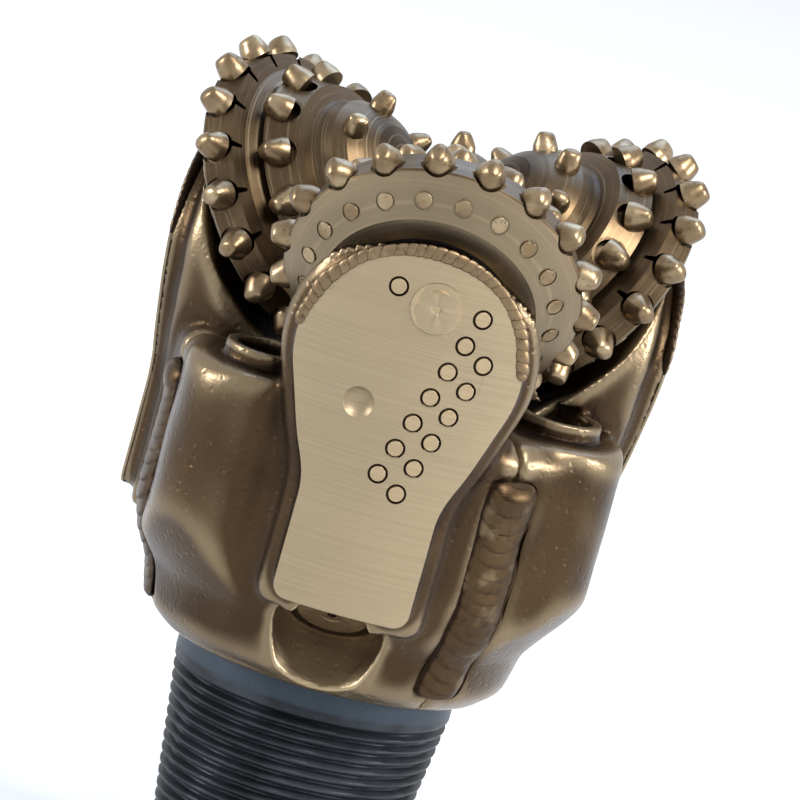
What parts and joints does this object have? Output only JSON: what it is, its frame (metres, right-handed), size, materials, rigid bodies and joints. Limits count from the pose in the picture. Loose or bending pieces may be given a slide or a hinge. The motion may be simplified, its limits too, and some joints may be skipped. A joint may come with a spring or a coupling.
{
  "type": "tricone drill bit",
  "caption": "Roller cone rotary drill bit with three insert-studded cones on journal legs, nozzles, lubricant reservoirs and a tapered threaded pin",
  "frame": {"origin": "centre of the shoulder face, where the pin leaves the body, on the bit axis", "axes": "+Z runs along the bit axis from the threaded pin toward the cones; leg A faces -Y, legs B and C follow at 120 and 240 degrees about +Z"},
  "size_m": [0.2161, 0.2084, 0.3439],
  "materials": {
    "bronze_paint": "metallic gold-bronze paint over forged and turned steel",
    "painted_carbide": "the same paint over pressed carbide",
    "phosphate_steel": "dark phosphated turned steel, oiled",
    "bearing_steel": "ground bearing steel",
    "bearing_bronze": "bearing bronze",
    "nitrile_rubber": "black nitrile",
    "carbide_grey": "sintered carbide"
  },
  "bodies": {
    "bit_body": {"threaded_pin": "phosphate_steel", "leg_a": "bronze_paint", "weld_seam_a": "bronze_paint", "shirttail_hardfacing_a": "bronze_paint", "shirttail_buttons_a": "painted_carbide", "ball_plug_a": "bronze_paint", "reservoir_cap_a": "bronze_paint", "reservoir_snap_ring_a": "bronze_paint", "reservoir_canister_a": "nitrile_rubber", "nozzle_a": "carbide_grey", "nozzle_ring_a": "bronze_paint", "bearing_balls_a": "bearing_steel", "thrust_washer_a": "bearing_bronze", "seal_ring_a": "nitrile_rubber", "leg_b": "bronze_paint", "weld_seam_b": "bronze_paint", "shirttail_hardfacing_b": "bronze_paint", "shirttail_buttons_b": "painted_carbide", "ball_plug_b": "bronze_paint", "reservoir_cap_b": "bronze_paint", "reservoir_snap_ring_b": "bronze_paint", "reservoir_canister_b": "nitrile_rubber", "nozzle_b": "carbide_grey", "nozzle_ring_b": "bronze_paint", "bearing_balls_b": "bearing_steel", "thrust_washer_b": "bearing_bronze", "seal_ring_b": "nitrile_rubber", "leg_c": "bronze_paint", "weld_seam_c": "bronze_paint", "shirttail_hardfacing_c": "bronze_paint", "shirttail_buttons_c": "painted_carbide", "ball_plug_c": "bronze_paint", "reservoir_cap_c": "bronze_paint", "reservoir_snap_ring_c": "bronze_paint", "reservoir_canister_c": "nitrile_rubber", "nozzle_c": "carbide_grey", "nozzle_ring_c": "bronze_paint", "bearing_balls_c": "bearing_steel", "thrust_washer_c": "bearing_bronze", "seal_ring_c": "nitrile_rubber"},
    "roller_a": {"cone_a": "bronze_paint", "gage_inserts_a": "painted_carbide", "inner_inserts_a": "painted_carbide", "nose_inserts_a": "painted_carbide", "heel_inserts_a": "painted_carbide", "journal_bushing_a": "bearing_bronze"},
    "roller_b": {"cone_b": "bronze_paint", "gage_inserts_b": "painted_carbide", "inner_inserts_b": "painted_carbide", "nose_inserts_b": "painted_carbide", "heel_inserts_b": "painted_carbide", "journal_bushing_b": "bearing_bronze"},
    "roller_c": {"cone_c": "bronze_paint", "gage_inserts_c": "painted_carbide", "inner_inserts_c": "painted_carbide", "nose_inserts_c": "painted_carbide", "heel_inserts_c": "painted_carbide", "journal_bushing_c": "bearing_bronze"}
  },
  "joints": [
    {"name": "roller_a_spin", "type": "hinge", "parent": "bit_body", "child": "roller_a", "pos_m": [0.003, -0.0806, 0.169], "axis": [0, 0.8387, 0.5446], "continuous": true},
    {"name": "roller_b_spin", "type": "hinge", "parent": "bit_body", "child": "roller_b", "pos_m": [0.0683, 0.0429, 0.169], "axis": [-0.7263, -0.4193, 0.5446], "continuous": true},
    {"name": "roller_c_spin", "type": "hinge", "parent": "bit_body", "child": "roller_c", "pos_m": [-0.0713, 0.0377, 0.169], "axis": [0.7263, -0.4193, 0.5446], "continuous": true}
  ]
}
